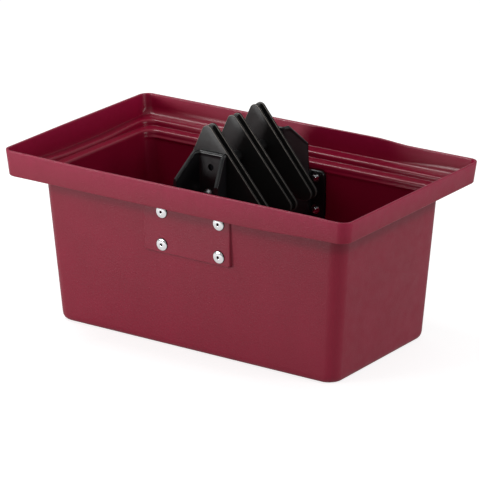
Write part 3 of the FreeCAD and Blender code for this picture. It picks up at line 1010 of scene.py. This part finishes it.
@dataclass
class Bracket:
    """Hat-section bracket of the rack: a plate on the saddles, two splayed cheeks and two riveted ears."""

    wall: Wall
    top: float
    corner: float
    thickness: float = 4.5
    inner: float = 59.0
    level: float = 70.0
    outer: float = 97.0
    seat: float = 107.4
    shift: float = 2.7
    plate_half: float = 20.0
    half: float = 32.2
    bottom: float = 121.5
    ear_half: float = 53.0
    ear_top: float = 181.5
    ear_radius: float = 5.0
    edge: float = 0.9
    bead: float = 2.7
    bend: float = 2.5
    step: float = 0.8
    hole_x: float = 2.0
    hole_height: float = 222.5
    hole_radius: float = 4.1
    bead_free: Span = (4.0, 9.0)
    tip_shares: Sequence[float] = (0.0, 0.08, 0.3, 0.6, 1.0)
    foot_run: float = 4.0
    slope_run: float = 6.0
    slope_steps: int = 14
    edge_steps: int = 5
    bead_steps: int = 12
    hole_segments: int = 40
    rows: int = 40

    def cheek(self, y: Array) -> Array:
        """X of a cheek's middle line: it widens evenly to the outer corner, then runs straight.

        Args:
            y: Distances from the rack's middle.

        Returns:
            The half widths.
        """
        splay = (self.half - self.plate_half) / (self.outer - self.inner)
        inset = 0.5 * self.thickness * math.hypot(1.0, splay)
        return self.plate_half - inset + splay * (np.minimum(y, self.outer) - self.inner)

    def path(self) -> Array:
        """Middle line of the sheet in plan, from one ear's end to the other's, at positive Y.

        Returns:
            X and Y of the line's points.
        """
        left = self.half_path(-self.shift) * [-1.0, 1.0]
        return np.concatenate([self.half_path(self.shift), left[-2::-1]])

    def half_path(self, lean: float) -> Array:
        """One half of the middle line, from the ear's end to the middle of the plate.

        Args:
            lean: How far the cheek stands out.

        Returns:
            X and Y of the line's points, at positive X.
        """
        mid = 0.5 * self.thickness
        plate = self.inner + mid
        ear = self.seat - mid
        near = 0.6 * self.step
        tip = self.ear_half - self.ear_radius * np.array(self.tip_shares)
        foot = np.array([self.outer + self.foot_run, self.outer + near])
        slope = np.linspace(self.outer - near, plate + self.slope_run, self.slope_steps)
        corner, *side, edge = [[float(self.cheek(y)) + lean, y] for y in (ear, *foot, *slope, plate)]
        ends = [[x, ear] for x in tip]
        line = [*ends, corner, *side, edge, [0.5 * self.plate_half, plate], [0.0, plate]]
        cuts = [0.0] * len(ends) + [self.bend] + [0.0] * len(side) + [self.bend, 0.0, 0.0]
        return rounded(line, cuts, steps=6)

    def crest(self, x: Array, y: Array) -> Array:
        """Height of the sheet's top edge over a place in plan.

        It is level over the plate, then falls evenly along the cheeks to the outer corner. Past the corner it
        steps down to the ears, whose tips are rounded.

        Args:
            x: X of the places.
            y: Y of the places, positive.

        Returns:
            The heights.
        """
        fall = (self.top - self.corner) / (self.outer - self.level)
        slope = self.top - np.maximum(y - self.level, 0.0) * fall
        past = smoothstep(self.outer - 0.5 * self.step, self.outer + 0.5 * self.step, y)
        return slope + past * (self.ear_top - self.tip_drop(x) - slope)

    def tip_drop(self, x: Array) -> Array:
        """How far an ear's rounded tip falls away: r - sqrt(r^2 - t^2), with t the way into the tip."""
        into = np.clip(np.abs(x) - self.ear_half + self.ear_radius, 0.0, self.ear_radius)
        return self.ear_radius - np.sqrt(self.ear_radius ** 2 - into ** 2)

    def section(self) -> tuple[Array, Array, Array]:
        """Upright section of the sheet as a closed loop, with a bead along its top edge.

        The bead is the circle (R sin a, R - R cos a), from its crown to where it meets the sheet's face.

        Returns:
            Offset across the sheet, share of the way up, and the distance from the nearer end.
        """
        half = 0.5 * self.thickness
        turn = np.linspace(0.0, 0.5 * math.pi, self.edge_steps)
        across = half - self.edge * (1.0 - np.cos(turn))
        drop = self.edge * (1.0 - np.sin(turn))
        around = np.linspace(math.pi - math.asin(half / self.bead), 0.0, self.bead_steps)
        bulge = self.bead * np.sin(around)
        depth = self.bead * (1.0 - np.cos(around))
        climb = np.linspace(0.0, 1.0, self.rows)
        level = np.full(self.rows, half)
        inset = self.edge + climb * (depth[0] - self.edge)
        offset = np.concatenate([across[::-1], level, bulge[1:], -bulge[-2:0:-1], -level, -across])
        foot = np.zeros(self.edge_steps)
        share = np.concatenate([foot, climb, np.ones(2 * len(bulge) - 3), climb[::-1], foot])
        inset = np.concatenate([drop[::-1], inset, depth[1:], depth[-2:0:-1], inset[::-1], drop])
        return offset, share, inset

    def surface(self) -> Surface:
        """Carry the sheet's section along its path.

        A point lies at path + offset * normal, at the height low + share * (high - low). The bead is left
        off the face that lies against the saddles.

        Returns:
            The closed surface.
        """
        line = self.path()
        along = np.gradient(line, axis=0)
        along /= np.linalg.norm(along, axis=1, keepdims=True)
        offset, share, inset = self.section()
        half = 0.5 * self.thickness
        free = smoothstep(*self.bead_free, line[:, [1]] - self.inner)
        offset = np.where(offset > half, half + free * (offset - half), offset)
        x = line[:, [0]] - along[:, [1]] * offset
        y = line[:, [1]] + along[:, [0]] * offset
        low = self.bottom + self.tip_drop(x) * (y > self.outer) + inset
        high = self.crest(*np.moveaxis(np.repeat(line[:, None], len(inset), axis=1), -1, 0)) - inset
        z = low + share * (high - low)
        grid = np.stack([x, self.wall.value * y, z], axis=-1)
        wear_and_painted_light = np.repeat(((inset < self.bead) & (share == 1))[None], len(line), axis=0) * 1.0
        return capped(grid, wear_and_painted_light)

    def build(self, shop: Workshop) -> None:
        """Make the bracket with its upper hole.

        Args:
            shop: Where pieces are made.
        """
        name = f"{self.wall.label}_bracket"
        piece = shop.add(f"{name}_sheet", self.surface(), Slot.BRACKET, name)
        reach = self.thickness
        radius = self.hole_radius
        profile = np.array([[0.0, -reach], [radius, -reach], [radius, reach], [0.0, reach]])
        cutter = turned(profile, self.hole_segments, np.zeros(len(profile)))
        middle = self.wall.value * (self.inner + 0.5 * self.thickness)
        axes = [[1, 0, 0], [0, 0, 1], [0, -1, 0]]
        shop.drill(piece, cutter.moved(axes, (self.hole_x, middle, self.hole_height)))


@dataclass
class Saddle:
    """A saddle of the rack: two round-cornered triangular plates with a smaller core between them."""

    name: str
    middle: float
    top: float = 271.6
    bottom: float = 162.5
    left: float = -57.0
    right: float = 79.0
    tip_x: float = -6.2
    tip_radius: float = 7.5
    corner_radius: float = 9.0
    plate: float = 3.0
    core: float = 8.0
    core_side: float = 11.5
    core_tip: float = 14.5
    edge: float = 0.6
    dull_share: float = 0.2
    # Painted highlight on the plates' edges: its least share and the heights over which it grows to full.
    highlight_least: float = 0.2
    highlight_rise: Span = (205.0, 262.0)
    arc_steps: int = 16
    edge_steps: int = 6

    def outline(self, side_inset: float, tip_inset: float, shrink: Array) -> Array:
        """Belt round three circles, drawn at several distances inside itself.

        Each run of the belt faces out at the angle of the line between two centres less a right angle,
        turned by the arcsine of the radii's difference over their distance. An arc is
        centre + (radius - shrink)(cos, sin).

        Args:
            side_inset: How far the lower corners move in.
            tip_inset: How far the tip moves down.
            shrink: Distances inside the belt.

        Returns:
            X and Z of the outlines, as distances by points by two.
        """
        inset = self.corner_radius + side_inset
        corner_z = self.bottom + self.corner_radius
        tip = self.top - self.tip_radius - tip_inset
        centres = np.array([[self.left + inset, corner_z], [self.right - inset, corner_z], [self.tip_x, tip]])
        radii = np.array([self.corner_radius, self.corner_radius, self.tip_radius])
        step = np.roll(centres, -1, axis=0) - centres
        length = np.linalg.norm(step, axis=1)
        facing = np.arctan2(step[:, 1], step[:, 0]) - 0.5 * math.pi
        facing += np.arcsin((radii - np.roll(radii, -1)) / length)
        start = np.roll(facing, 1)
        sweep = (facing - start) % (2.0 * math.pi)
        angle = start[:, None] + sweep[:, None] * np.linspace(0.0, 1.0, self.arc_steps)
        direction = np.stack([np.cos(angle), np.sin(angle)], axis=-1)
        arcs = centres[:, None] + (radii[:, None] - shrink[:, None, None])[..., None] * direction
        return arcs.reshape(len(shrink), -1, 2)

    def slab(self, middle: float, thickness: float, side_inset: float, tip_inset: float) -> Surface:
        """Upright plate with round edges.

        Each edge is the quarter circle (r - r sin a, r - r cos a) in from the outline and the face. It takes
        a painted highlight, strongest where it turns from one to the other and growing towards the tip.

        Args:
            middle: Y of the plate's middle.
            thickness: Its thickness.
            side_inset: How far its lower corners move in from the saddle's.
            tip_inset: How far its tip moves down.

        Returns:
            The closed surface.
        """
        turn = np.linspace(0.0, 0.5 * math.pi, self.edge_steps)
        shrink = self.edge * (1.0 - np.sin(turn))
        depth = 0.5 * thickness - self.edge * (1.0 - np.cos(turn))
        shrink = np.concatenate([shrink, shrink[::-1]])
        depth = np.concatenate([-depth, depth[::-1]])
        outline = self.outline(side_inset, tip_inset, shrink)
        y = np.repeat((middle + depth)[:, None], outline.shape[1], axis=1)
        grid = np.stack([outline[..., 0], y, outline[..., 1]], axis=-1)
        # Painted highlight: strongest at the middle of each rounded edge, growing towards the tip.
        worn_and_lit = np.sin(2.0 * turn)
        grown = self.highlight_least + (1.0 - self.highlight_least) * smoothstep(*self.highlight_rise, outline[..., 1])
        slab = capped(grid, np.concatenate([worn_and_lit, worn_and_lit[::-1]])[:, None] * grown)
        slab.polish = np.repeat(shrink < self.dull_share * self.edge, outline.shape[1]) * 1.0
        return slab

    def build(self, shop: Workshop) -> None:
        """Make the two cheeks and the core.

        Args:
            shop: Where pieces are made.
        """
        offset = 0.5 * (self.core + self.plate)
        label = f"{self.name}_saddle"
        for part, shift in (("front_cheek", -offset), ("rear_cheek", offset)):
            slab = self.slab(self.middle + shift, self.plate, 0.0, 0.0)
            shop.add(f"{label}_{part}_plate", slab, Slot.SADDLE, f"{label}_{part}")
        core = self.slab(self.middle, self.core, self.core_side, self.core_tip)
        shop.add(f"{label}_core_block", core, Slot.SADDLE, f"{label}_core")


@dataclass
class RivetSet:
    """Four large-flange blind rivets through one long wall.

    The hole's edge is given by how far out from the hole and down from the dome each of its points lies.
    """

    wall: Wall
    middle: float
    face: float = 111.4
    spacing_x: float = 82.8
    spacing_z: float = 41.0
    centre_z: float = 152.5
    flange_radius: float = 7.9
    flange_height: float = 2.4
    rim: float = 0.5
    hole_radius: float = 1.6
    hole_depth: float = 3.5
    shank_radius: float = 2.4
    grip: float = 10.0
    tail_radius: float = 3.6
    tail_length: float = 4.0
    tail_flat: float = 0.8
    tail_cuts: Sequence[float] = (0.0, 0.4, 1.3, 0.3, 0.0)
    hole_lip: float = 0.35
    hole_edge: Points = ((0.0, 0.5), (0.1, 0.15))
    rim_edge: float = 0.15
    brim_shade_share: float = 0.92
    dome_steps: int = 18
    segments: int = 48

    def rivet(self) -> Surface:
        """Turn a rivet's profile: hole, dome, flange rim, shank and rounded tail.

        The dome is the arc h = rim + (height - rim) sqrt(1 - (r / R)^2) between the hole and the flange's
        rim. The hole and the brim of the flange take painted shade: a dark hole and a dark contact ring.

        Returns:
            The rivet along +Z, its flange seated at zero.
        """
        first_angle = math.asin((self.hole_radius + self.hole_lip) / self.flange_radius)
        dome_angle = np.linspace(first_angle, 0.5 * math.pi, self.dome_steps)
        dome_r = self.flange_radius * np.sin(dome_angle)
        dome_h = self.rim + (self.flange_height - self.rim) * np.cos(dome_angle)
        bottom = self.flange_height - self.hole_depth
        edge = [[self.hole_radius + out, dome_h[0] - down] for out, down in self.hole_edge]
        start = [[0.0, bottom], [self.hole_radius, bottom], *edge]
        end = -self.grip - self.tail_length
        rest = [[self.flange_radius, self.rim_edge], [self.flange_radius - self.rim_edge, 0.0],
                [self.shank_radius, 0.0], [self.shank_radius, -self.grip]]
        swell = rounded([[self.shank_radius, -self.grip], [self.tail_radius, -self.grip],
                         [self.tail_radius, end], [self.tail_flat, end], [0.0, end]],
                        self.tail_cuts, steps=4)
        profile = np.concatenate([start, np.stack([dome_r, dome_h], axis=-1), rest, swell[1:]])
        # Painted shade: a dark ring at the flange's brim and a dark hole.
        brim = smoothstep(self.brim_shade_share * self.flange_radius, self.flange_radius, profile[:, 0])
        return turned(profile, self.segments, np.maximum(np.arange(len(profile)) < len(start), brim))

    def build(self, shop: Workshop) -> None:
        """Set four rivets into the wall as one piece.

        Args:
            shop: Where pieces are made.
        """
        side = self.wall.value
        axes = [[1, 0, 0], [0, 0, -side], [0, side, 0]]
        rivet = self.rivet()
        half_x = 0.5 * self.spacing_x
        half_z = 0.5 * self.spacing_z
        places = [(self.middle + x * half_x, side * self.face, self.centre_z + z * half_z)
                  for x in (-1, 1) for z in (-1, 1)]
        label = f"{self.wall.label}_rivets"
        shop.add(f"{label}_set", merged([rivet.moved(axes, place) for place in places]), Slot.RIVET, label)


class Hardware:
    """Small turned and hexagonal pieces whose solids are shown as they are."""

    def build(self, shop: Workshop) -> None:
        """Give each kept solid its finish.

        Args:
            shop: Where finishes are held.
        """
        spacers = [f"{row}_{level}_spacer" for level in ("upper", "lower") for row in ("front", "rear")]
        shop.dress(Slot.SPACER, spacers)
        shop.dress(Slot.ROD, ["locating_rod"])
        shop.dress(Slot.BOLT, ["tie_bolt", "tie_bolt_washers", "tie_bolt_nut"])
        shop.dress(Slot.RIVET, ["front_rivet_washers", "rear_rivet_washers"])


@dataclass
class Studio:
    """Pale floor, soft light and the camera, in metres and degrees."""

    azimuth: float = 35.01
    elevation: float = 18.95
    roll: float = -0.29
    focal: float = 249.75
    distance: float = 4.0793
    aim_right: float = -0.001
    aim_up: float = 0.10661
    floor_half: float = 6.0
    floor_colour: Colour = (0.52, 0.52, 0.52)
    floor_shade: float = 0.99
    floor_patch: float = 0.4
    floor_glow: float = 0.74
    mirrored_floor: float = 0.33
    sky: float = 0.44
    mirrored_sky: float = 0.4
    dark_side: float = 75.0
    dark_floor: Span = (0.15, 0.5)
    dark_sky: Span = (0.3, 0.9)
    sensor: float = 36.0
    view_end: float = 50.0

    def build(self) -> None:
        """Set up floor, world, lamps and camera."""
        self.floor()
        self.world()
        self.lamp("key", place=(-0.75, -1.25, 0.34), sides=(0.5, 0.16), power=8.7)
        self.lamp("top", place=(-0.80, 0.00, 1.50), sides=(0.5, 0.5), power=7.5)
        self.lamp("fill", place=(1.50, 0.10, 0.62), sides=(0.8, 0.5), power=7.0)
        self.camera()
        bpy.context.scene.view_settings.view_transform = "Standard"

    def toward_dark_side(self, nodes: Nodes) -> Socket:
        """How far a place or direction lies toward the room's dark side, to the right of the camera.

        Args:
            nodes: The tree whose places or directions are measured.

        Returns:
            The distance along that side's direction.
        """
        azimuth = math.radians(self.dark_side)
        dot = nodes.add("ShaderNodeVectorMath", operation="DOT_PRODUCT")
        nodes.put(dot.inputs[1], (math.sin(azimuth), -math.cos(azimuth), 0.0))
        nodes.put(dot.inputs[0], nodes.place)
        return dot.outputs["Value"]

    @staticmethod
    def rays(nodes: Nodes) -> tuple[Socket, Socket]:
        """Tell the camera's own rays from the mirrored ones.

        Args:
            nodes: The tree that asks.

        Returns:
            Whether a ray is the camera's own, and whether it is mirrored or has passed through something.
        """
        path = nodes.add("ShaderNodeLightPath").outputs
        return path["Is Camera Ray"], nodes.math("ADD", path["Is Glossy Ray"], path["Is Transmission Ray"])

    def floor(self) -> None:
        """Lay a wide pale floor that keeps the shadow.

        It is white to the camera, and darker to one side in reflections.
        """
        half = self.floor_half
        mesh = bpy.data.meshes.new("floor")
        corners = [(-half, -half, 0), (half, -half, 0), (half, half, 0), (-half, half, 0)]
        mesh.from_pydata(corners, [], [(0, 1, 2, 3)])
        nodes = Nodes(bpy.data.materials.new("pale_floor"))
        tone = nodes.span(nodes.noise(self.floor_patch), 0.0, 1.0)
        shade = tuple(self.floor_shade * part for part in self.floor_colour)
        colour = nodes.blend(tone, self.floor_colour, shade)
        side = nodes.span(self.toward_dark_side(nodes), self.mirrored_floor, 0.0, *self.dark_floor)
        direct, bent = self.rays(nodes)
        seen = nodes.math("MULTIPLY", direct, self.floor_glow)
        glow = nodes.math("ADD", seen, nodes.math("MULTIPLY", bent, side))
        nodes.feed(nodes.shader, Base_Color=colour, Roughness=0.9, Specular_IOR_Level=0.0,
                   Emission_Color=(1.0, 1.0, 1.0, 1.0), Emission_Strength=glow)
        mesh.materials.append(nodes.owner)
        floor = bpy.data.objects.new("floor", mesh)
        bpy.context.scene.collection.objects.link(floor)

    def world(self) -> None:
        """Light the scene from a dim sky, white to the camera and darker to one side in reflections."""
        world = bpy.data.worlds.new("white_room")
        nodes = Nodes(world, "Background", "Generated")
        side = nodes.span(self.toward_dark_side(nodes), self.mirrored_sky, 0.0, *self.dark_sky)
        direct, bent = self.rays(nodes)
        mirrored = nodes.feed(nodes.add("ShaderNodeMix"), Factor=bent, A=self.sky, B=side).outputs[0]
        seen = nodes.feed(nodes.add("ShaderNodeMix"), Factor=direct, A=mirrored, B=1.0)
        nodes.feed(nodes.shader, Color=(1.0, 1.0, 1.0, 1.0), Strength=seen.outputs[0])
        bpy.context.scene.world = world

    @staticmethod
    def lamp(name: str, place: Sequence[float], sides: Span, power: float) -> None:
        """Hang a softbox that faces the tub.

        Args:
            name: Name of the lamp.
            place: Its place in metres.
            sides: Its width and height in metres.
            power: Its power in watts.
        """
        data = bpy.data.lights.new(name, "AREA")
        data.shape = "RECTANGLE"
        data.size, data.size_y = sides
        data.energy = power
        lamp = bpy.data.objects.new(name, data)
        back = np.subtract(place, LAMP_AIM)
        back /= np.linalg.norm(back)
        right = np.cross([0.0, 0.0, 1.0], back)
        right /= np.linalg.norm(right)
        lamp.matrix_world = Studio.pose(right, np.cross(back, right), back, np.array(place))
        bpy.context.scene.collection.objects.link(lamp)

    @staticmethod
    def pose(right: Array, up: Array, back: Array, place: Array) -> Matrix:
        """Matrix of a thing that looks against its back direction.

        Args:
            right: Unit direction to its right.
            up: Unit direction of its top.
            back: Unit direction that it looks away from.
            place: Its place in metres.

        Returns:
            The matrix.
        """
        rows = np.eye(4)
        rows[:3] = np.stack([right, up, back, place], axis=-1)
        return Matrix(rows.tolist())

    def camera(self) -> None:
        """Stand the camera at the picture's angle: azimuth and elevation, then a small roll."""
        azimuth, elevation, roll = (math.radians(a) for a in (self.azimuth, self.elevation, self.roll))
        back = np.array([math.sin(azimuth) * math.cos(elevation), -math.cos(azimuth) * math.cos(elevation),
                         math.sin(elevation)])
        level = np.array([math.cos(azimuth), math.sin(azimuth), 0.0])
        steep = np.cross(back, level)
        right = math.cos(roll) * level + math.sin(roll) * steep
        up = math.cos(roll) * steep - math.sin(roll) * level
        data = bpy.data.cameras.new("camera")
        data.lens = self.focal
        data.sensor_width = self.sensor
        data.clip_end = self.view_end
        camera = bpy.data.objects.new("camera", data)
        place = self.aim_right * right + self.aim_up * up + self.distance * back
        camera.matrix_world = self.pose(right, up, back, place)
        bpy.context.scene.collection.objects.link(camera)
        bpy.context.scene.camera = camera


def main() -> None:
    """Build the sub-assemblies in order, then the studio."""
    logging.basicConfig(level=logging.INFO, format="%(name)s: %(message)s")
    shop = Workshop()
    assemblies = [
        Tub(),
        Bracket(Wall.FRONT, top=241.0, corner=211.0),
        Bracket(Wall.REAR, top=244.2, corner=217.8),
        Saddle("front", middle=-52.0),
        Saddle("middle", middle=0.0),
        Saddle("rear", middle=52.0, left=-60.2, right=72.8, tip_x=-9.4),
        RivetSet(Wall.FRONT, middle=5.5),
        RivetSet(Wall.REAR, middle=0.0),
        Hardware(),
    ]
    for assembly in assemblies:
        assembly.build(shop)
    Studio().build()


if __name__ == "__main__":
    main()
